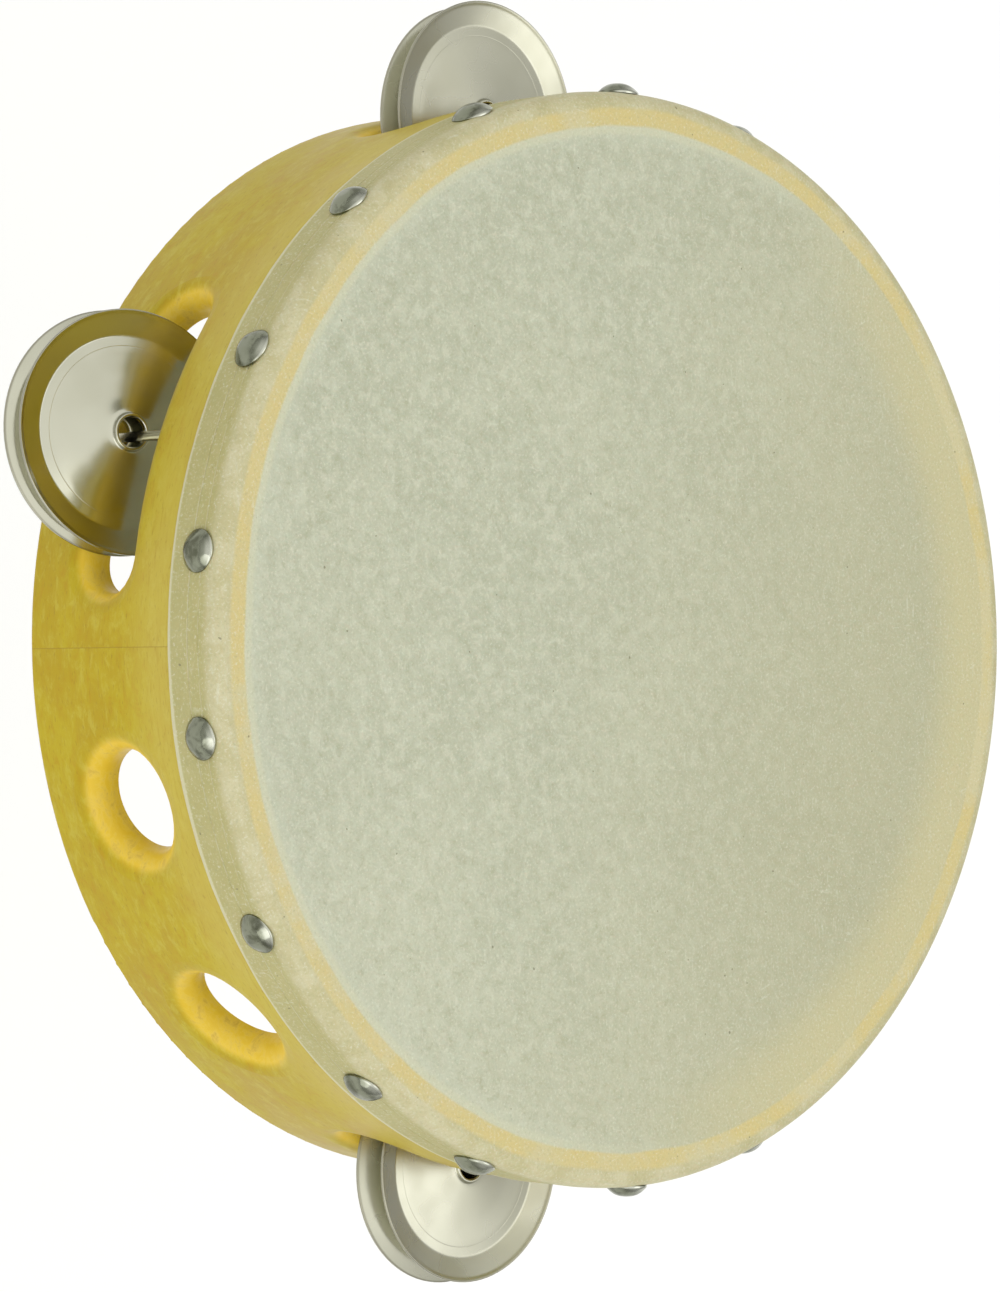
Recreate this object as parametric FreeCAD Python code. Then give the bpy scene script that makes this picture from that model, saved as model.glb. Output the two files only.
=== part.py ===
"""Eight-inch tambourine: a bent wooden hoop with a tacked skin head and five pairs of jingles.

Millimetres. The drum's axis is +Z and the head is on top. The origin is the centre of the open
rear rim, so the tambourine lies on its rim at z = 0. The grip, with its two finger holes, is
centred on -Y, and everything is laid out from it by angles about the axis.
"""
import FreeCAD, Part
import math
import os

V = FreeCAD.Vector
AXIS = V(0, 0, 1)
ORIGIN = V(0, 0, 0)

# Hoop
HOOP_OUTER_R = 101.6
WALL = 6.4
HOOP_INNER_R = HOOP_OUTER_R - WALL
HOOP_HEIGHT = 52.6
FRONT_ROUND = 2.5
REAR_ROUND = 0.8
GRIP_ANGLE = 270.0

# Openings routed through the wall, with the outer edge rolled over
SLOT_Z = 20.2
SLOT_LENGTH = 58.0
SLOT_WIDTH = 12.6
SLOT_LIP = 4.0
FINGER_HOLE_Z = 22.0
FINGER_HOLE_R = 9.4
FINGER_HOLE_LIP = 4.8
FINGER_HOLE_OFFSET = 12.95
FIRST_JINGLE_OFFSET = 51.5
JINGLE_STATIONS = 5

# Skin head
SKIN = 0.5
SKIN_OUTER_R = HOOP_OUTER_R + SKIN
SKIRT_Z = 40.0

# Tacks, driven by eye, so that each one is a little off its mark, in degrees
TACK_Z = 47.4
TACK_HEAD_R = 3.9
TACK_HEAD_RIM = 0.4
TACK_DOME = 1.8
TACK_SHANK_R = 0.65
TACK_SHANK = 5.0
TACK_POINT = 1.2
TACK_DRIFT = (0.2, 1.2, -1.4, 0.6, -0.4, 0.9, -0.7, 0.3, -0.9,
              0.5, -0.2, 0.8, -0.5, 0.7, 0.3, 0.2, 1.4, -0.3)

# Jingle pins
PIN_R = 0.95
PIN_CIRCLE_R = 99.4
PIN_SUNK = 0.8
PIN_BITE = 7.0

# Jingles: stamped dishes, nested in pairs with their hollow sides to the head
JINGLE_R = 22.2
FLANGE_IN_R = 17.6
CREASE_R = 13.4
JINGLE_HOLE_R = 2.75
COLLAR_R = 3.5
SHEET = 0.6
FLANGE_RISE = 1.65
CREASE_RISE = 0.3
CONE_RISE = 1.2
COLLAR_RISE = 2.0

# How each loose jingle hangs: mm out from its pin, mm round the hoop, mm up to its rim,
# and degrees that it leans outwards and round the hoop. Upper, then lower, from station 1.
HANGS = (((0.6, 0.9, 20.6, 0.0, 0.0), (1.2, -0.9, 16.5, 1.5, 0.0)),
         ((1.0, 0.4, 20.0, 2.0, 1.0), (1.1, -0.6, 16.6, 1.0, 0.0)),
         ((0.8, -0.7, 20.3, 1.0, -1.0), (0.4, 0.9, 16.6, 0.0, 0.0)),
         ((0.5, 0.9, 21.0, 0.0, 0.0), (-0.3, 1.1, 16.7, 0.0, 0.0)),
         ((1.2, -0.4, 19.5, 11.0, 0.0), (1.2, -0.5, 15.9, 11.0, 0.0)))


def polar(radius, angle, z=0.0):
    """Point at a radius and an angle in degrees about the drum's axis."""
    a = math.radians(angle)
    return V(radius * math.cos(a), radius * math.sin(a), z)


def station_angles():
    """Angles of the jingle slots: one each side of the grip, the rest shared evenly."""
    step = (360.0 - 2 * FIRST_JINGLE_OFFSET) / (JINGLE_STATIONS - 1)
    return [GRIP_ANGLE + FIRST_JINGLE_OFFSET + i * step for i in range(JINGLE_STATIONS)]


def tack_angles():
    step = 360.0 / len(TACK_DRIFT)
    return [GRIP_ANGLE + i * step + drift for i, drift in enumerate(TACK_DRIFT)]


def revolve(points):
    """Solid of revolution about Z from a closed outline of (radius, z) points."""
    wire = Part.makePolygon([V(r, 0, z) for r, z in points + points[:1]])
    return Part.Face(wire).revolve(ORIGIN, AXIS, 360)


def ring_edges(shape, radius, z):
    """Full-circle edges of a turned solid at one radius and height."""
    return [e for e in shape.Edges
            if isinstance(e.Curve, Part.Circle)
            and abs(e.Curve.Radius - radius) < 0.01
            and abs(e.Curve.Center.z - z) < 0.01]


def radial_cylinder(radius, angle, z, start=HOOP_INNER_R - 5, end=HOOP_OUTER_R + 5):
    """Cylinder lying along a radius of the hoop."""
    return Part.makeCylinder(radius, end - start, polar(start, angle, z), polar(1, angle))


def slot_cutter(angle):
    """Slot that follows the hoop: a flat-sided sector between two round radial ends."""
    end_r = SLOT_WIDTH / 2
    half = math.degrees((SLOT_LENGTH / 2 - end_r) / HOOP_OUTER_R)
    low = SLOT_Z - end_r
    outline = Part.makePolygon([V(HOOP_INNER_R - 5, 0, low), V(HOOP_OUTER_R + 5, 0, low),
                                V(HOOP_OUTER_R + 5, 0, low + SLOT_WIDTH),
                                V(HOOP_INNER_R - 5, 0, low + SLOT_WIDTH),
                                V(HOOP_INNER_R - 5, 0, low)])
    sector = Part.Face(outline).revolve(ORIGIN, AXIS, 2 * half)
    sector.rotate(ORIGIN, AXIS, angle - half)
    ends = [radial_cylinder(end_r, angle + side * half, SLOT_Z) for side in (-1, 1)]
    return sector.fuse(ends).removeSplitter()


def lip_edges(shape):
    """Edges where openings break the outside of the hoop, below the skirt."""
    lips = []
    for edge in shape.Edges:
        points = edge.discretize(5)
        on_outside = all(abs(math.hypot(p.x, p.y) - HOOP_OUTER_R) < 0.01 for p in points)
        between_rims = all(REAR_ROUND + 1 < p.z < SKIRT_Z for p in points)
        if on_outside and between_rims:
            lips.append(edge)
    return lips


def near_grip(edge):
    """True for an edge of a finger hole, False for one of a slot."""
    middle = edge.BoundBox.Center
    angle = math.degrees(math.atan2(middle.y, middle.x)) % 360
    return abs(angle - GRIP_ANGLE) < (FINGER_HOLE_OFFSET + FIRST_JINGLE_OFFSET) / 2


def make_hoop():
    """Bent hoop with routed openings, rolled lips, and the holes its pins and tacks fill."""
    hoop = revolve([(HOOP_INNER_R, 0), (HOOP_OUTER_R, 0),
                    (HOOP_OUTER_R, HOOP_HEIGHT), (HOOP_INNER_R, HOOP_HEIGHT)])
    hoop = hoop.makeFillet(FRONT_ROUND, ring_edges(hoop, HOOP_OUTER_R, HOOP_HEIGHT))
    hoop = hoop.makeFillet(REAR_ROUND, ring_edges(hoop, HOOP_OUTER_R, 0)
                           + ring_edges(hoop, HOOP_INNER_R, 0))
    cutters = [slot_cutter(angle) for angle in station_angles()]
    cutters += [radial_cylinder(FINGER_HOLE_R, GRIP_ANGLE + side * FINGER_HOLE_OFFSET,
                                FINGER_HOLE_Z) for side in (-1, 1)]
    hoop = hoop.cut(cutters)
    hoop = hoop.makeFillet(SLOT_LIP, [e for e in lip_edges(hoop) if not near_grip(e)])
    hoop = hoop.makeFillet(FINGER_HOLE_LIP, [e for e in lip_edges(hoop) if near_grip(e)])
    return hoop.cut([pin_hole(angle) for angle in station_angles()]
                    + [tack_shank(angle) for angle in tack_angles()])


def pin_top():
    return SLOT_Z + SLOT_WIDTH / 2 + PIN_BITE


def pin_hole(angle):
    """Hole drilled from the rear rim, across the slot and on into the wood beyond it."""
    return Part.makeCylinder(PIN_R, pin_top() + 1, polar(PIN_CIRCLE_R, angle, -1), AXIS)


def make_pin(angle):
    """Plain wire pin, driven in until it is just below the rear rim."""
    return Part.makeCylinder(PIN_R, pin_top() - PIN_SUNK,
                             polar(PIN_CIRCLE_R, angle, PIN_SUNK), AXIS)


def make_skin():
    """Skin drawn over the hoop's front edge, with a skirt down its outside."""
    top = HOOP_HEIGHT + SKIN
    outside = [(0, HOOP_HEIGHT), (HOOP_OUTER_R, HOOP_HEIGHT), (HOOP_OUTER_R, SKIRT_Z),
               (SKIN_OUTER_R, SKIRT_Z), (SKIN_OUTER_R, top), (0, top)]
    skin = revolve(outside)
    skin = skin.makeFillet(FRONT_ROUND + SKIN, ring_edges(skin, SKIN_OUTER_R, top))
    skin = skin.makeFillet(FRONT_ROUND, ring_edges(skin, HOOP_OUTER_R, HOOP_HEIGHT))
    return skin.cut([tack_shank(angle) for angle in tack_angles()])


def tack_shank(angle):
    """Round shank with a point, from the skin's outside into the wood."""
    body = TACK_SHANK - TACK_POINT
    straight = radial_cylinder(TACK_SHANK_R, angle, TACK_Z, SKIN_OUTER_R - body,
                               SKIN_OUTER_R + TACK_HEAD_RIM)
    point = Part.makeCone(TACK_SHANK_R, 0, TACK_POINT,
                          polar(SKIN_OUTER_R - body, angle, TACK_Z), polar(-1, angle))
    return straight.fuse(point)


def make_tack(angle):
    """Domed head on a short rim, shank and point, turned in one piece."""
    ball_r = (TACK_HEAD_R ** 2 + TACK_DOME ** 2) / (2 * TACK_DOME)
    rim_end = SKIN_OUTER_R + TACK_HEAD_RIM
    crown = rim_end + TACK_DOME
    halfway = math.asin(TACK_HEAD_R / ball_r) / 2
    shoulder = V(crown - ball_r + ball_r * math.cos(halfway), 0, ball_r * math.sin(halfway))
    dome = Part.Arc(V(crown, 0, 0), shoulder, V(rim_end, 0, TACK_HEAD_R)).toShape()
    straight_end = SKIN_OUTER_R - TACK_SHANK + TACK_POINT
    rest = Part.makePolygon([V(rim_end, 0, TACK_HEAD_R), V(SKIN_OUTER_R, 0, TACK_HEAD_R),
                             V(SKIN_OUTER_R, 0, TACK_SHANK_R), V(straight_end, 0, TACK_SHANK_R),
                             V(SKIN_OUTER_R - TACK_SHANK, 0, 0), V(crown, 0, 0)])
    section = Part.Face(Part.Wire([dome] + rest.Edges))
    tack = section.revolve(ORIGIN, V(1, 0, 0), 360)
    tack.translate(V(0, 0, TACK_Z))
    tack.rotate(ORIGIN, AXIS, angle)
    return tack


def make_tacks():
    return Part.makeCompound([make_tack(angle) for angle in tack_angles()])


def jingle_profile():
    """Half section of one jingle, its back at z = 0 and its collar pointing up."""
    back = [(JINGLE_HOLE_R, CONE_RISE), (CREASE_R, CREASE_RISE), (FLANGE_IN_R, 0),
            (JINGLE_R, FLANGE_RISE)]
    front = [(JINGLE_R, FLANGE_RISE + SHEET), (FLANGE_IN_R, SHEET), (CREASE_R, CREASE_RISE + SHEET),
             (COLLAR_R, CONE_RISE + SHEET), (COLLAR_R, COLLAR_RISE + SHEET),
             (JINGLE_HOLE_R, COLLAR_RISE + SHEET)]
    return back + front


def make_jingle(angle, hang):
    """Jingle on its pin, where it has come to rest against the wire and its neighbour."""
    out, along, rim_height, lean_out, lean_along = hang
    jingle = revolve(jingle_profile())
    jingle.translate(V(0, 0, -FLANGE_RISE - SHEET))
    jingle.rotate(ORIGIN, V(0, 1, 0), lean_out)
    jingle.rotate(ORIGIN, V(1, 0, 0), -lean_along)
    jingle.translate(V(PIN_CIRCLE_R + out, along, rim_height))
    jingle.rotate(ORIGIN, AXIS, angle)
    return jingle


def build_nodes():
    nodes = {"hoop": make_hoop(), "skin_head": make_skin(), "head_tacks": make_tacks()}
    for number, (angle, hangs) in enumerate(zip(station_angles(), HANGS), 1):
        nodes[f"jingle_pin_{number}"] = make_pin(angle)
        for place, hang in zip(("upper", "lower"), hangs):
            nodes[f"jingle_{number}_{place}"] = make_jingle(angle, hang)
    return nodes


os.makedirs("parts", exist_ok=True)
for name, shape in build_nodes().items():
    shape.exportStep(f"parts/{name}.step")
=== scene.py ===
"""Looks of the tambourine: lacquered hoop, parchment head, steel tacks and nickel jingles."""
import bmesh
import bpy
import math
from mathutils import Matrix, Vector, noise


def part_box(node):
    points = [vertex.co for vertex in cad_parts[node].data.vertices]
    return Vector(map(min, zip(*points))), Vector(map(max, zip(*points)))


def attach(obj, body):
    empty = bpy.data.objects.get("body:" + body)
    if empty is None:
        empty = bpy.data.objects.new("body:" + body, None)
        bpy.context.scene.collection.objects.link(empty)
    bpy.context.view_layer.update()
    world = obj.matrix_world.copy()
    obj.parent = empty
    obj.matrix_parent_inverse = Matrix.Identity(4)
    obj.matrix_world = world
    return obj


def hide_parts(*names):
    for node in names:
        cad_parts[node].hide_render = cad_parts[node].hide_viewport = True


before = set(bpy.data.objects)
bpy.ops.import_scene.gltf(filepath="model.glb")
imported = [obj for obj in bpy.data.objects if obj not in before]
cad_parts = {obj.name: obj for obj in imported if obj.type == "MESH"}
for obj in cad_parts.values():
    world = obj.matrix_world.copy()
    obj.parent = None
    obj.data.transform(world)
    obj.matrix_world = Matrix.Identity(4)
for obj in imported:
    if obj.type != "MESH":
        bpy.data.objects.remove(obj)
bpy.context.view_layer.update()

TAU = 2 * math.pi
MM = 0.001

# Sizes read from the frame
HOOP_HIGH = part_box("hoop")[1]
SKIN_LOW, SKIN_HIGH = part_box("skin_head")
HOOP_R = HOOP_HIGH.x
HOOP_TOP = HOOP_HIGH.z
SKIN_R = SKIN_HIGH.x
SKIN_TOP = SKIN_HIGH.z
SKIRT_Z = SKIN_LOW.z

# Sizes that repeat those in the CAD source
WALL = 6.4 * MM
INNER_R = HOOP_R - WALL
FRONT_ROUND = 2.5 * MM
TACK_Z = 47.4 * MM
TACK_R = 3.9 * MM
SLOT_Z = 20.2 * MM
JINGLE_R = 22.2 * MM

# Places round the hoop, as angles from +X; the grip is at -Y
SEAM_ANGLE = math.radians(240.7)
FAR_SIDE = math.radians(45)

# Lines scored round the skirt: height, depth of the groove, strength of its pale mark
SCORE_LINES = ((SKIRT_Z + 5.4 * MM, 0.16 * MM, 0.55),
               (SKIRT_Z + 8.3 * MM, 0.11 * MM, 0.35))


# ---------------------------------------------------------------- node helpers
class Graph:
    """Small helper that adds and links shader nodes."""

    def __init__(self, name):
        self.material = bpy.data.materials.new(name)
        self.material.use_nodes = True
        self.tree = self.material.node_tree
        self.tree.nodes.clear()
        self.out = self.add("ShaderNodeOutputMaterial")
        self.shader = self.add("ShaderNodeBsdfPrincipled")
        self.link(self.shader.outputs["BSDF"], self.out.inputs["Surface"])

    def add(self, kind, **settings):
        node = self.tree.nodes.new(kind)
        for key, value in settings.items():
            setattr(node, key, value)
        return node

    def link(self, source, target):
        self.tree.links.new(source, target)

    def feed(self, socket, value):
        """Links another node's output to the socket, or sets it to a constant."""
        if isinstance(value, bpy.types.NodeSocket):
            self.link(value, socket)
        else:
            socket.default_value = value

    def math(self, operation, a, b=0.0):
        node = self.add("ShaderNodeMath", operation=operation)
        for socket, value in zip(node.inputs, (a, b)):
            self.feed(socket, value)
        return node.outputs[0]

    def times(self, a, b):
        return self.math("MULTIPLY", a, b)

    def from_axis(self, x, y):
        """Distance from the Z axis."""
        return self.math("SQRT", self.math("ADD", self.times(x, x), self.times(y, y)))

    def position(self):
        return self.add("ShaderNodeTexCoord").outputs["Object"]

    def split(self, vector):
        node = self.add("ShaderNodeSeparateXYZ")
        self.link(vector, node.inputs[0])
        return node.outputs

    def join(self, x, y, z):
        node = self.add("ShaderNodeCombineXYZ")
        for socket, value in zip(node.inputs, (x, y, z)):
            self.feed(socket, value)
        return node.outputs[0]

    def scaled(self, vector, scale):
        node = self.add("ShaderNodeVectorMath", operation="MULTIPLY")
        self.link(vector, node.inputs[0])
        node.inputs[1].default_value = scale
        return node.outputs[0]

    def noise(self, vector, scale, detail=3.0, roughness=0.5, distortion=0.0):
        node = self.add("ShaderNodeTexNoise")
        self.link(vector, node.inputs["Vector"])
        node.inputs["Scale"].default_value = scale
        node.inputs["Detail"].default_value = detail
        node.inputs["Roughness"].default_value = roughness
        node.inputs["Distortion"].default_value = distortion
        return node.outputs["Fac"]

    def ramp(self, value, low, high, start=0.0, end=1.0):
        """Smooth step of value from low..high to start..end."""
        node = self.add("ShaderNodeMapRange", interpolation_type="SMOOTHSTEP", clamp=True)
        self.feed(node.inputs["Value"], value)
        node.inputs["From Min"].default_value = low
        node.inputs["From Max"].default_value = high
        node.inputs["To Min"].default_value = start
        node.inputs["To Max"].default_value = end
        return node.outputs["Result"]

    def band(self, value, centre, half_width, soft):
        """1 within half_width of centre, falling smoothly to 0 over soft."""
        away = self.math("ABSOLUTE", self.math("SUBTRACT", value, centre))
        return self.ramp(away, half_width, half_width + soft, 1.0, 0.0)

    def mix(self, factor, a, b):
        """Colour a where factor is 0, colour b where it is 1."""
        node = self.add("ShaderNodeMix", data_type="RGBA", blend_type="MIX")
        self.feed(node.inputs[0], factor)
        self.feed(node.inputs[6], a)
        self.feed(node.inputs[7], b)
        return node.outputs[2]

    def bump(self, height, strength, distance):
        node = self.add("ShaderNodeBump")
        self.feed(node.inputs["Height"], height)
        node.inputs["Strength"].default_value = strength
        node.inputs["Distance"].default_value = distance
        return node.outputs["Normal"]

    def set(self, **values):
        """Feeds the shader's sockets, with _ for each space in their names."""
        for key, value in values.items():
            self.feed(self.shader.inputs[key.replace("_", " ")], value)


def srgb(red, green, blue):
    """Linear colour from 0..255 display values."""
    def channel(v):
        v /= 255
        return v / 12.92 if v <= 0.04045 else ((v + 0.055) / 1.055) ** 2.4
    return (channel(red), channel(green), channel(blue), 1.0)


def round_the_hoop(g):
    """(arc length, height, radius) in metres; the arc starts and ends at the hoop's scarf joint."""
    turned = g.add("ShaderNodeVectorRotate", rotation_type="Z_AXIS")
    g.link(g.position(), turned.inputs["Vector"])
    turned.inputs["Angle"].default_value = math.pi - SEAM_ANGLE
    x, y, z = g.split(turned.outputs[0])
    arc = g.times(g.math("ARCTAN2", y, x), HOOP_R)
    return arc, z, g.from_axis(x, y)


# ---------------------------------------------------------------- materials
def lacquered_wood():
    """Pale bent wood under a thin, uneven yellow lacquer, brighter in the rolled lips."""
    g = Graph("lacquered_wood")
    arc, height, radius = round_the_hoop(g)
    along = g.join(arc, height, radius)
    cloud = g.noise(g.scaled(along, (1.0, 1.5, 1.0)), 42, 4, 0.62, 0.5)
    patch = g.noise(g.scaled(along, (0.6, 1.1, 1.0)), 400, 5, 0.75, 0.4)
    fibre = g.noise(g.scaled(along, (190, 1300, 1300)), 1.0, 4, 0.65)
    pore = g.noise(g.scaled(along, (700, 2600, 2600)), 1.0, 2, 0.5)
    # The lacquer is thick and thin in patches, and paler under the skirt
    base = g.mix(g.ramp(cloud, 0.38, 0.64), srgb(172, 147, 2), srgb(178, 158, 16))
    base = g.mix(g.ramp(patch, 0.48, 0.68, 0.0, 0.6), base, srgb(186, 172, 62))
    base = g.mix(g.ramp(patch, 0.47, 0.32, 0.0, 0.7), base, srgb(173, 139, 0))
    base = g.mix(g.ramp(height, SKIRT_Z - 16 * MM, SKIRT_Z - 2 * MM, 0.0, 0.5), base,
                 srgb(194, 178, 88))
    base = g.mix(g.ramp(fibre, 0.5, 0.72, 0.0, 0.28), base, srgb(160, 126, 28))
    base = g.mix(g.ramp(pore, 0.60, 0.74, 0.0, 0.3), base, srgb(120, 88, 20))
    # It pools in the rolled lips, which lie a little inside the hoop's outer face
    inside_face = g.ramp(radius, HOOP_R - 1.2 * MM, HOOP_R - 0.1 * MM, 1.0, 0.0)
    routed = g.times(inside_face, g.band(height, SLOT_Z + 1.5 * MM, 15 * MM, 2 * MM))
    lip = g.mix(g.ramp(patch, 0.4, 0.65), srgb(228, 193, 58), srgb(234, 205, 92))
    base = g.mix(g.times(routed, 0.8), base, lip)
    # Painted shade: darker brown deeper in the openings, towards the hoop's inner wall
    painted_deep_shade = g.times(g.ramp(patch, 0.50, 0.68), g.ramp(routed, 0.3, 1.0, 0.0, 0.45))
    base = g.mix(painted_deep_shade, base, srgb(168, 122, 8))
    # The scarf joint is a fine dark line
    joint = g.band(g.math("ABSOLUTE", arc), math.pi * HOOP_R, 0.04 * MM, 0.12 * MM)
    base = g.mix(g.times(joint, 0.3), base, srgb(120, 92, 24))
    g.set(Base_Color=base, Roughness=g.ramp(cloud, 0.3, 0.7, 0.36, 0.5))
    g.set(Coat_Weight=0.03, Coat_Roughness=0.25, IOR=1.3)
    height_map = g.math("ADD", g.times(fibre, 0.6), g.times(patch, 0.6))
    height_map = g.math("SUBTRACT", height_map, g.times(joint, 0.6))
    g.set(Normal=g.bump(height_map, 0.22, 0.10 * MM))
    return g.material


def hairs(g, place, angle, low):
    """Short fine strokes in one direction, as white fibres in a skin."""
    turned = g.add("ShaderNodeVectorRotate", rotation_type="Z_AXIS")
    g.link(place, turned.inputs["Vector"])
    turned.inputs["Angle"].default_value = angle
    stroke = g.noise(g.scaled(turned.outputs[0], (330, 1700, 400)), 1.0, 3, 0.55, 0.6)
    patchy = g.noise(turned.outputs[0], 55, 2, 0.5)
    return g.times(g.ramp(stroke, low, low + 0.1), g.ramp(patchy, 0.42, 0.62))


def parchment():
    """Natural drum skin: grey-green where it is free, warmer where wood lies behind it, with a
    painted glow on its far side and a painted highlight on the shoulder.
    """
    g = Graph("parchment")
    _, height, radius = round_the_hoop(g)
    place = g.position()
    cloud = g.noise(place, 13, 4, 0.55, 0.6)
    mottle = g.noise(place, 150, 6, 0.72, 0.4)
    grit = g.noise(place, 1900, 3, 0.7)
    fine = g.noise(place, 430, 4, 0.65, 0.5)
    speck = g.noise(place, 900, 0, 0.4)
    # The free skin is grey-green and finely mottled
    free = g.mix(g.ramp(cloud, 0.34, 0.66), srgb(173, 176, 153), srgb(182, 184, 160))
    free = g.mix(g.ramp(mottle, 0.44, 0.66, 0.0, 0.6), free, srgb(188, 191, 169))
    free = g.mix(g.ramp(mottle, 0.46, 0.32, 0.0, 0.3), free, srgb(168, 172, 147))
    free = g.mix(g.ramp(fine, 0.46, 0.68, 0.0, 0.75), free, srgb(193, 195, 173))
    free = g.mix(g.ramp(fine, 0.46, 0.28, 0.0, 0.6), free, srgb(162, 165, 138))
    # Painted light: the lit wood inside the hoop glows warm through the skin on its far side; on the
    # near side its rim is paler
    x, y, _ = g.split(place)
    far = g.math("ADD", g.times(x, math.cos(FAR_SIDE)), g.times(y, math.sin(FAR_SIDE)))
    painted_far_glow = g.ramp(far, -0.04, 0.09)
    # Painted glow, strongest near the rim on the far side
    haze = g.times(g.ramp(far, 0.015, 0.07), g.ramp(radius, 0.078, 0.091))
    free = g.mix(g.times(painted_far_glow, 0.65), free, srgb(169, 165, 129))
    free = g.mix(g.times(haze, 0.75), free, srgb(194, 186, 142))
    near = g.ramp(far, -0.02, 0.05, 1.0, 0.0)
    near_rim = g.ramp(radius, INNER_R - 5 * MM, INNER_R - 1.5 * MM, 0.0, 0.35)
    free = g.mix(g.times(near_rim, near), free, srgb(190, 194, 172))
    # Over the rim it lies on wood: a tan band, a pale one that is a painted highlight on the rounded
    # shoulder, then the skirt
    wander = g.times(g.math("SUBTRACT", g.noise(place, 45, 2, 0.5), 0.5), 1.6 * MM)
    drift = g.math("ADD", radius, wander)
    blotch = g.noise(place, 34, 4, 0.65, 0.4)
    on_rim = g.mix(g.ramp(mottle, 0.4, 0.66, 0.0, 0.6), srgb(200, 184, 124), srgb(194, 184, 136))
    on_rim = g.mix(g.ramp(blotch, 0.44, 0.62, 0.0, 0.85), on_rim, srgb(196, 189, 150))
    # Painted highlight where the skin rounds over the hoop's edge
    painted_shoulder_highlight = g.mix(g.ramp(mottle, 0.38, 0.64), srgb(182, 175, 132), srgb(194, 188, 152))
    skirt = g.mix(g.ramp(mottle, 0.38, 0.64, 0.0, 0.6), srgb(168, 161, 104), srgb(178, 171, 120))
    ring = g.times(g.band(drift, INNER_R, 0.5 * MM, 1.2 * MM), near)
    free = g.mix(ring, free, srgb(192, 193, 166))
    base = g.mix(g.ramp(drift, INNER_R + 0.1 * MM, INNER_R + 0.8 * MM), free, on_rim)
    base = g.mix(g.ramp(drift, HOOP_R - 3.2 * MM, HOOP_R - 2.2 * MM), base, painted_shoulder_highlight)
    base = g.mix(g.ramp(height, SKIN_TOP - 1.6 * MM, SKIN_TOP - 4.2 * MM), base, skirt)
    # White hairs, grit and a few dark specks
    for angle, low in ((0.5, 0.60), (-0.9, 0.62), (1.7, 0.63)):
        stroke = g.times(hairs(g, place, angle, low), 0.28)
        base = g.mix(stroke, base, srgb(212, 215, 196))
    base = g.mix(g.ramp(grit, 0.53, 0.72, 0.0, 0.5), base, srgb(214, 214, 194))
    base = g.mix(g.ramp(grit, 0.46, 0.28, 0.0, 0.4), base, srgb(150, 150, 120))
    base = g.mix(g.ramp(speck, 0.865, 0.885, 0.0, 0.6), base, srgb(96, 92, 62))
    # The cut edge and the scored lines are pale
    edge = g.band(height, SKIRT_Z, 0.5 * MM, 0.5 * MM)
    base = g.mix(g.times(edge, 0.7), base, srgb(204, 200, 168))
    for line, _, strength in SCORE_LINES:
        score = g.band(height, line, 0.06 * MM, 0.14 * MM)
        broken = g.ramp(g.noise(place, 260, 3, 0.6), 0.35, 0.55)
        base = g.mix(g.times(g.times(score, broken), strength), base, srgb(212, 208, 176))
    g.set(Base_Color=base, Roughness=g.ramp(mottle, 0.35, 0.7, 0.46, 0.62))
    g.set(Subsurface_Weight=0.08, Subsurface_Scale=0.5 * MM, IOR=1.42)
    height_map = g.math("ADD", mottle, g.times(grit, 0.5))
    g.set(Normal=g.bump(height_map, 0.22, 0.1 * MM))
    return g.material


def turned_nickel(name, clear, dull):
    """Nickel plate over a turned face: fine rings, faint marks; clear and dull are roughnesses."""
    g = Graph(name)
    place = g.position()
    x, y, _ = g.split(place)
    radius = g.from_axis(x, y)
    rings = g.noise(g.join(g.times(radius, 7000.0), 0.0, 0.0), 1.0, 2, 0.5)
    haze = g.noise(place, 90, 2, 0.5)
    marks = g.noise(g.scaled(place, (2600, 420, 900)), 1.0, 2, 0.5)
    base = g.mix(g.ramp(haze, 0.35, 0.7), srgb(191, 190, 173), srgb(186, 185, 167))
    base = g.mix(g.ramp(marks, 0.70, 0.85, 0.0, 0.12), base, srgb(140, 134, 110))
    edge = g.ramp(radius, JINGLE_R - 0.45 * MM, JINGLE_R - 0.1 * MM, 0.0, 0.55)
    base = g.mix(edge, base, srgb(120, 116, 98))
    g.set(Base_Color=base, Metallic=1.0, Anisotropic=0.55)
    tangent = g.add("ShaderNodeTangent", direction_type="RADIAL", axis="Z")
    g.link(tangent.outputs[0], g.shader.inputs["Tangent"])
    g.set(Roughness=g.ramp(haze, 0.3, 0.7, clear, dull))
    g.set(Normal=g.bump(rings, 0.05, 0.02 * MM))
    return g.material


def tack_steel():
    """Hammered and tarnished steel, its dark tone partly a painted dark reflection, with a painted
    highlight where it faces up.
    """
    g = Graph("tack_steel")
    place = g.position()
    blotch = g.noise(place, 330, 4, 0.6, 0.5)
    scratch = g.noise(g.scaled(place, (900, 5200, 2600)), 1.0, 3, 0.6)
    # Dark tarnished steel; its darkness is also a painted dark reflection of the room below
    base = g.mix(g.ramp(blotch, 0.42, 0.66), srgb(132, 135, 118), srgb(94, 96, 80))
    # Painted highlight: lighter where the surface faces up towards the lights
    facing = g.split(g.add("ShaderNodeNewGeometry").outputs["Normal"])[2]
    base = g.mix(g.ramp(facing, 0.50, 0.80, 0.0, 0.8), base, srgb(200, 201, 188))
    g.set(Base_Color=base, Metallic=1.0)
    g.set(Roughness=g.ramp(blotch, 0.35, 0.7, 0.14, 0.26))
    g.set(Normal=g.bump(g.math("ADD", blotch, g.times(scratch, 0.5)), 0.06, 0.05 * MM))
    return g.material


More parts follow.
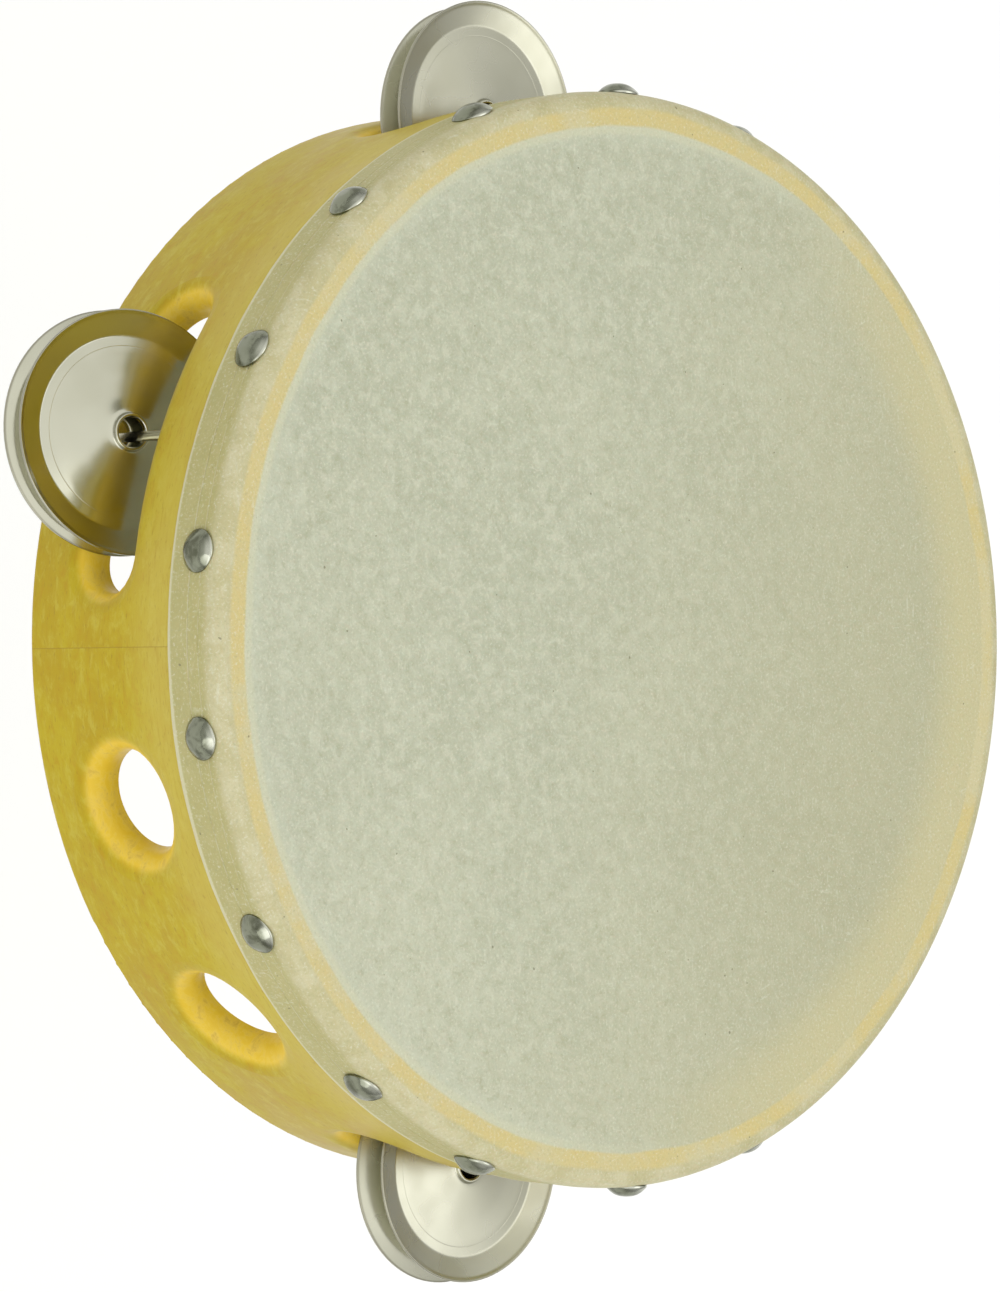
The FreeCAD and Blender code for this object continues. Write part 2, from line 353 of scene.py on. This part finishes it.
def drawn_wire():
    """Bright wire with the fine lines of the drawing die."""
    g = Graph("drawn_wire")
    place = g.position()
    draw = g.noise(g.scaled(place, (9000, 9000, 260)), 1.0, 2, 0.5)
    base = g.mix(g.ramp(draw, 0.35, 0.65), srgb(196, 193, 172), srgb(150, 145, 120))
    g.set(Base_Color=base, Metallic=1.0, Roughness=0.22)
    g.set(Normal=g.bump(draw, 0.08, 0.03 * MM))
    return g.material


def white_floor():
    """Plain white paper, far below the tambourine."""
    g = Graph("white_floor")
    tone = g.noise(g.position(), 3, 2, 0.5)
    g.set(Base_Color=g.mix(tone, srgb(250, 250, 249), srgb(247, 247, 247)), Roughness=0.9)
    return g.material


def dress(node, material):
    """Gives a CAD node its material."""
    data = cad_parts[node].data
    data.materials.clear()
    data.materials.append(material)


# ---------------------------------------------------------------- pieces
def around(angle, radius=1.0, height=0.0):
    """Point at an angle round the Z axis."""
    return Vector((radius * math.cos(angle), radius * math.sin(angle), height))


def new_piece(name, builder, material, place=None):
    """Smooth-shaded object made from a bmesh, put in its place."""
    mesh = bpy.data.meshes.new(name)
    bmesh.ops.recalc_face_normals(builder, faces=builder.faces)
    builder.to_mesh(mesh)
    builder.free()
    for polygon in mesh.polygons:
        polygon.use_smooth = True
    mesh.materials.append(material)
    piece = bpy.data.objects.new(name, mesh)
    if place is not None:
        piece.matrix_world = place
    bpy.context.scene.collection.objects.link(piece)
    return piece


def eased(corners, steps=3):
    """Outline with each corner (r, z, ease) rounded off: ease is how far the curve starts from it."""
    outline = []
    for index, (r, z, ease) in enumerate(corners):
        corner = Vector((r, z))
        if ease == 0:
            outline.append(corner)
            continue
        before = Vector(corners[index - 1][:2]) - corner
        after = Vector(corners[(index + 1) % len(corners)][:2]) - corner
        start = corner + before.normalized() * min(ease, before.length * 0.45)
        end = corner + after.normalized() * min(ease, after.length * 0.45)
        for step in range(steps + 1):
            t = step / steps
            outline.append(start * (1 - t) ** 2 + corner * 2 * t * (1 - t) + end * t ** 2)
    return outline


def turn(builder, outline, segments, closed, shift=None):
    """Sweeps an outline of (r, z) points round the Z axis; shift(angle, r, z) may move a point."""
    rings = []
    for r, z in outline:
        if r < 1e-7:
            rings.append([builder.verts.new((0, 0, z))])
            continue
        ring = []
        for k in range(segments):
            angle = TAU * k / segments
            radius, height = shift(angle, r, z) if shift else (r, z)
            ring.append(builder.verts.new(around(angle, radius, height)))
        rings.append(ring)
    pairs = list(zip(rings, rings[1:]))
    if closed:
        pairs.append((rings[-1], rings[0]))
    for low, high in pairs:
        for k in range(segments):
            corners = [low[k % len(low)], low[(k + 1) % len(low)],
                       high[(k + 1) % len(high)], high[k % len(high)]]
            builder.faces.new(list(dict.fromkeys(corners)))


# Half section of a jingle: (radius, height over its back, how far each corner is eased), in mm
JINGLE_SEGMENTS = 96
JINGLE_FRONT = ((2.75, 2.50, 0.12), (3.00, 2.62, 0.10), (3.32, 2.60, 0.12), (3.45, 2.30, 0.10),
                (3.62, 1.82, 0.22), (5.00, 1.66, 0.40), (8.00, 1.36, 0.80), (11.0, 1.08, 0.80),
                (13.4, 0.92, 1.00), (15.6, 0.80, 0.03), (15.68, 0.77, 0.02), (15.76, 0.79, 0.03),
                (17.55, 0.60, 0.30), (21.3, 1.93, 0.30), (21.62, 2.08, 0.10), (22.03, 2.27, 0.12),
                (22.20, 2.14, 0.08))
JINGLE_BACK = ((22.20, 1.74, 0.10), (21.95, 1.62, 0.15), (17.60, 0.00, 0.50), (13.4, 0.30, 1.00),
               (3.60, 1.24, 0.60), (2.75, 1.36, 0.20))
# The lower jingle's back lies this far under the upper one's
BACK_TO_BACK = 0.9 * MM


def dish_place(node):
    """Where a CAD jingle lies: its axis as local Z, its back at local z = 0."""
    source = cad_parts[node]
    world = source.matrix_world
    axis = Vector()
    middle = Vector()
    area = 0.0
    for polygon in source.data.polygons:
        normal = (world.to_3x3() @ polygon.normal).normalized()
        faces_up = normal.z > 0.5
        if faces_up:
            axis += normal * polygon.area
            middle += world @ polygon.center * polygon.area
            area += polygon.area
    axis.normalize()
    middle /= area
    back = min((world @ vertex.co).dot(axis) for vertex in source.data.vertices)
    foot = middle + axis * (back - middle.dot(axis))
    x = axis.orthogonal().normalized()
    facing = Matrix((x, axis.cross(x), axis)).transposed().to_4x4()
    return Matrix.Translation(foot) @ facing


def turned_over(own, upper):
    """The lower jingle of a pair: parallel to the upper one, and back to back with it."""
    axis = upper.to_3x3() @ Vector((0, 0, 1))
    gap = (upper.translation - own.translation).dot(axis)
    foot = own.translation + axis * (gap - BACK_TO_BACK)
    return (Matrix.Translation(foot) @ upper.to_3x3().to_4x4()
            @ Matrix.Rotation(math.pi, 4, "X"))


def make_jingle(node, material):
    """Stamped dish with a raised collar, a scored ring and a rolled rim."""
    builder = bmesh.new()
    corners = [(r * MM, z * MM, ease * MM) for r, z, ease in JINGLE_FRONT + JINGLE_BACK]
    turn(builder, eased(corners), JINGLE_SEGMENTS, True)
    place = dish_place(node)
    if node.endswith("lower"):
        place = turned_over(place, dish_place(node.replace("lower", "upper")))
    piece = new_piece(node + "_dish", builder, material, place)
    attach(piece, node)
    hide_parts(node)


def tack_angles():
    """Angle of each tack in the CAD node, one for each separate solid."""
    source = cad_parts["head_tacks"]
    probe = bmesh.new()
    probe.from_mesh(source.data)
    bmesh.ops.remove_doubles(probe, verts=probe.verts, dist=1e-6)
    seen = set()
    angles = []
    for first in probe.verts:
        if first in seen:
            continue
        seen.add(first)
        heap = [first]
        island = []
        while heap:
            vertex = heap.pop()
            island.append(source.matrix_world @ vertex.co)
            for edge in vertex.link_edges:
                other = edge.other_vert(vertex)
                if other not in seen:
                    seen.add(other)
                    heap.append(other)
        middle = sum(island, Vector()) / len(island)
        angles.append(math.atan2(middle.y, middle.x) % TAU)
    probe.free()
    return sorted(angles)


# Half section of a tack: (radius, height over the skin, how far each corner is eased), in mm
TACK_SEGMENTS = 40
TACK_FACE = ((0.0, 2.12, 0.0), (1.2, 2.10, 0.3), (2.2, 1.78, 0.4), (3.1, 1.16, 0.3),
             (3.75, 0.50, 0.12), (3.9, 0.28, 0.08), (3.86, -0.08, 0.05), (3.4, -0.08, 0.0),
             (0.65, -0.02, 0.0), (0.65, -3.8, 0.0), (0.0, -5.0, 0.0))
HAMMER_MARK = 0.05 * MM
TACK_TIP = math.radians(3)

# The tacks on the far side sit lower, and don't show over the rim
LOW_TACKS = math.radians(60)
LOW_TACKS_REACH = math.radians(80)
LOW_TACKS_DROP = 1.15 * MM


def between(angle, other):
    """Smallest angle between two directions."""
    return abs((angle - other + math.pi) % TAU - math.pi)


def make_tacks(angles, material):
    """All the tacks as one piece: hammered domes, each one struck a little differently."""
    whole = bmesh.new()
    outline = eased([(r * MM, z * MM, ease * MM) for r, z, ease in TACK_FACE])
    for number, angle in enumerate(angles):
        tack = bmesh.new()
        turn(tack, outline, TACK_SEGMENTS, False)
        drop = LOW_TACKS_DROP if between(angle, LOW_TACKS) < LOW_TACKS_REACH else 0.0
        for vertex in tack.verts:
            on_dome = vertex.co.z > 0.6 * MM
            if on_dome:
                spot = vertex.co * 300 + Vector((number * 7.3, 0, 0))
                vertex.co.z -= HAMMER_MARK * (0.5 + 0.5 * noise.noise(spot))
        knock = Matrix.Rotation(TACK_TIP * math.sin(number * 2.1), 4, "X")
        outward = Matrix.Rotation(angle, 4, "Z") @ Matrix.Rotation(math.pi / 2, 4, "Y")
        seat = Matrix.Translation(around(angle, SKIN_R, TACK_Z))
        spin = Matrix.Rotation(number * 1.7, 4, "Z")
        tack.transform(outward @ knock @ spin)
        for vertex in tack.verts:
            in_head = vertex.co.dot(around(angle)) > -0.5 * MM
            if in_head:
                vertex.co.z -= drop
        tack.transform(seat)
        finished = bpy.data.meshes.new("tack")
        tack.to_mesh(finished)
        tack.free()
        whole.from_mesh(finished)
        bpy.data.meshes.remove(finished)
    piece = new_piece("tack_heads", whole, material)
    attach(piece, "frame")
    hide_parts("head_tacks")
    return piece


# The skin's mesh: points round it, radii across its face, heights over the skirt's edge, in mm
SKIN_SEGMENTS = 540
FACE_ROWS = (0.0, 8.0, 20.0, 34.0, 48.0, 62.0, 74.0, 84.0, 91.0, 94.0, 95.4, 97.2)
SKIRT_ROWS = (9.3, 8.7, 8.45, 8.3, 8.15, 7.9, 6.8, 5.9, 5.55, 5.4, 5.25, 4.9, 3.8, 2.6, 1.5, 0.7,
              0.25, 0.08)
UNDER_ROWS = (1.0, 2.6, 5.4, 8.3)

# Gap between the skin and the wood
SKIN_GAP = 0.04 * MM

# Hand work on the skin: the cut edge wanders and has nicks, and each tack dents it
TRIM_REACH = 4.0 * MM
TRIM_WAVE = 0.55 * MM
TRIM_NICK = 0.14 * MM
RIPPLE = 0.10 * MM
DENT_DEPTH = 0.12 * MM
DENT_REACH = 1.9 * TACK_R


def bend(middle_r, middle_z, radius, steps):
    """Quarter circle in half section, from straight up to straight out."""
    for step in range(steps + 1):
        turned = math.pi / 2 * step / steps
        yield Vector((middle_r + radius * math.sin(turned), middle_z + radius * math.cos(turned)))


def skin_outline():
    """Half section of the skin from the middle of its face, over the rim, down the skirt and back."""
    outline = [Vector((r * MM, SKIN_TOP)) for r in FACE_ROWS]
    outer = FRONT_ROUND + SKIN_R - HOOP_R
    outline += bend(SKIN_R - outer, SKIN_TOP - outer, outer, 8)
    outline += [Vector((SKIN_R, SKIRT_Z + height * MM)) for height in SKIRT_ROWS]
    outline.append(Vector((SKIN_R - 0.12 * MM, SKIRT_Z)))
    under = HOOP_R + SKIN_GAP
    outline.append(Vector((under, SKIRT_Z + 0.06 * MM)))
    outline += [Vector((under, SKIRT_Z + height * MM)) for height in UNDER_ROWS]
    inner = FRONT_ROUND + SKIN_GAP
    outline += reversed(list(bend(HOOP_R - FRONT_ROUND, HOOP_TOP - FRONT_ROUND, inner, 5)))
    outline += [Vector((r * MM, HOOP_TOP + SKIN_GAP)) for r in reversed(FACE_ROWS[:-1])]
    return outline


def make_skin(angles, material):
    """Hide drawn over the rim and tacked, with two scored lines and a hand-cut edge."""
    def drawn(angle, r, z):
        place = around(angle)
        wave = noise.noise(place * 2.3 + Vector((4, 1, 7)))
        nick = noise.noise(place * 21 + Vector((2, 8, 3)))
        near_edge = max(0.0, min(1.0, (SKIRT_Z + TRIM_REACH - z) / TRIM_REACH))
        z += near_edge * (TRIM_WAVE * wave + TRIM_NICK * nick)
        on_skirt = r > SKIN_R - 0.2 * MM and z < SKIN_TOP - 3.2 * MM
        if on_skirt:
            r += RIPPLE * noise.noise(Vector((place.x * 9, place.y * 9, z * 160)))
            for line, depth, _ in SCORE_LINES:
                if abs(z - line) < 0.12 * MM:
                    r -= depth
            nearest = min(between(angle, tack) for tack in angles)
            reach = math.hypot(nearest * SKIN_R, z - TACK_Z) / DENT_REACH
            if reach < 1.0:
                r -= DENT_DEPTH * math.cos(reach * math.pi / 2) ** 2
        return r, z

    builder = bmesh.new()
    turn(builder, skin_outline(), SKIN_SEGMENTS, False, drawn)
    piece = new_piece("skin_cover", builder, material)
    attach(piece, "frame")
    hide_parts("skin_head")


# ---------------------------------------------------------------- camera, light and floor
# The camera stands off the near side and looks down, with a lens fitted to the hoop's outline
VIEW_TILT = math.radians(42.75)
VIEW_LEAN = math.radians(0.563)
PICTURE_UP = math.radians(150)
CAMERA_ANGLE = math.radians(240.69)
CAMERA_HEIGHT = 0.6944
CAMERA_REACH = 0.6283
LENS = 134.2

# Big soft lights in a pale room, and a floor far enough down to stay white under the tambourine
MIDDLE = Vector((0, 0, 0.03))
OVERHEAD_PLACE = Vector((0.7, 0.5, 2.0))
OVERHEAD_SIZE = 1.6
OVERHEAD_POWER = 6.5
SIDE_PLACE = around(CAMERA_ANGLE + 0.6, 1.5, 0.7)
SIDE_SIZE = 1.4
SIDE_POWER = 6
ROOM_UP = around(CAMERA_ANGLE, 0.28, 1.0)
ROOM_LOW = (0.46, 0.46, 0.45, 1)
ROOM_HIGH = (1.22, 1.22, 1.19, 1)
FLOOR_Z = -0.30
FLOOR_HALF = 6.0


def make_camera():
    """Long lens, with the picture's up direction turned to PICTURE_UP."""
    data = bpy.data.cameras.new("camera")
    data.lens = LENS
    data.clip_start = 0.05
    data.clip_end = 20
    up = around(PICTURE_UP)
    across = around(PICTURE_UP - math.pi / 2)
    right = across * math.cos(VIEW_TILT) + Vector((0, 0, math.sin(VIEW_TILT)))
    level = Matrix((right, up, right.cross(up))).transposed()
    leaned = Matrix.Rotation(VIEW_LEAN, 3, across) @ level
    camera = bpy.data.objects.new("camera", data)
    camera.matrix_world = (Matrix.Translation(around(CAMERA_ANGLE, CAMERA_REACH, CAMERA_HEIGHT))
                           @ leaned.to_4x4())
    bpy.context.scene.collection.objects.link(camera)
    bpy.context.scene.camera = camera


def softbox(name, place, size, power):
    """Round soft light aimed at the middle of the tambourine."""
    data = bpy.data.lights.new(name, "AREA")
    data.shape = "DISK"
    data.size = size
    data.energy = power
    lamp = bpy.data.objects.new(name, data)
    lamp.location = place
    lamp.rotation_euler = (MIDDLE - place).to_track_quat("-Z", "Y").to_euler()
    bpy.context.scene.collection.objects.link(lamp)


def make_room():
    """Pale surroundings, brightest above and darkest below."""
    world = bpy.data.worlds.new("studio")
    world.use_nodes = True
    tree = world.node_tree
    direction = tree.nodes.new("ShaderNodeTexCoord")
    height = tree.nodes.new("ShaderNodeVectorMath")
    height.operation = "DOT_PRODUCT"
    height.inputs[1].default_value = ROOM_UP
    tree.links.new(direction.outputs["Generated"], height.inputs[0])
    fade = tree.nodes.new("ShaderNodeValToRGB")
    below, above = fade.color_ramp.elements
    below.position = 0.0
    below.color = ROOM_LOW
    above.position = 1.0
    above.color = ROOM_HIGH
    tree.links.new(height.outputs["Value"], fade.inputs[0])
    tree.links.new(fade.outputs["Color"], tree.nodes["Background"].inputs["Color"])
    bpy.context.scene.world = world


def make_floor():
    """Wide white sheet under everything."""
    mesh = bpy.data.meshes.new("floor")
    half = FLOOR_HALF
    corners = [(-half, -half), (half, -half), (half, half), (-half, half)]
    mesh.from_pydata([(x, y, FLOOR_Z) for x, y in corners], [], [(0, 1, 2, 3)])
    floor = bpy.data.objects.new("floor", mesh)
    floor.data.materials.append(white_floor())
    bpy.context.scene.collection.objects.link(floor)


def make_studio():
    bpy.context.scene.view_settings.view_transform = "Standard"
    make_room()
    softbox("overhead", OVERHEAD_PLACE, OVERHEAD_SIZE, OVERHEAD_POWER)
    softbox("side", SIDE_PLACE, SIDE_SIZE, SIDE_POWER)
    make_floor()


# ---------------------------------------------------------------- the tambourine
satin = turned_nickel("satin_nickel", 0.22, 0.34)
bright = turned_nickel("bright_nickel", 0.10, 0.20)
wire = drawn_wire()

dress("hoop", lacquered_wood())
tack_places = tack_angles()
tack_piece = make_tacks(tack_places, tack_steel())
make_skin(tack_places, parchment())
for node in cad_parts:
    if node.startswith("jingle_pin"):
        dress(node, wire)
    elif node.startswith("jingle_5"):
        make_jingle(node, bright)
    elif node.startswith("jingle"):
        make_jingle(node, satin)

make_camera()
make_studio()
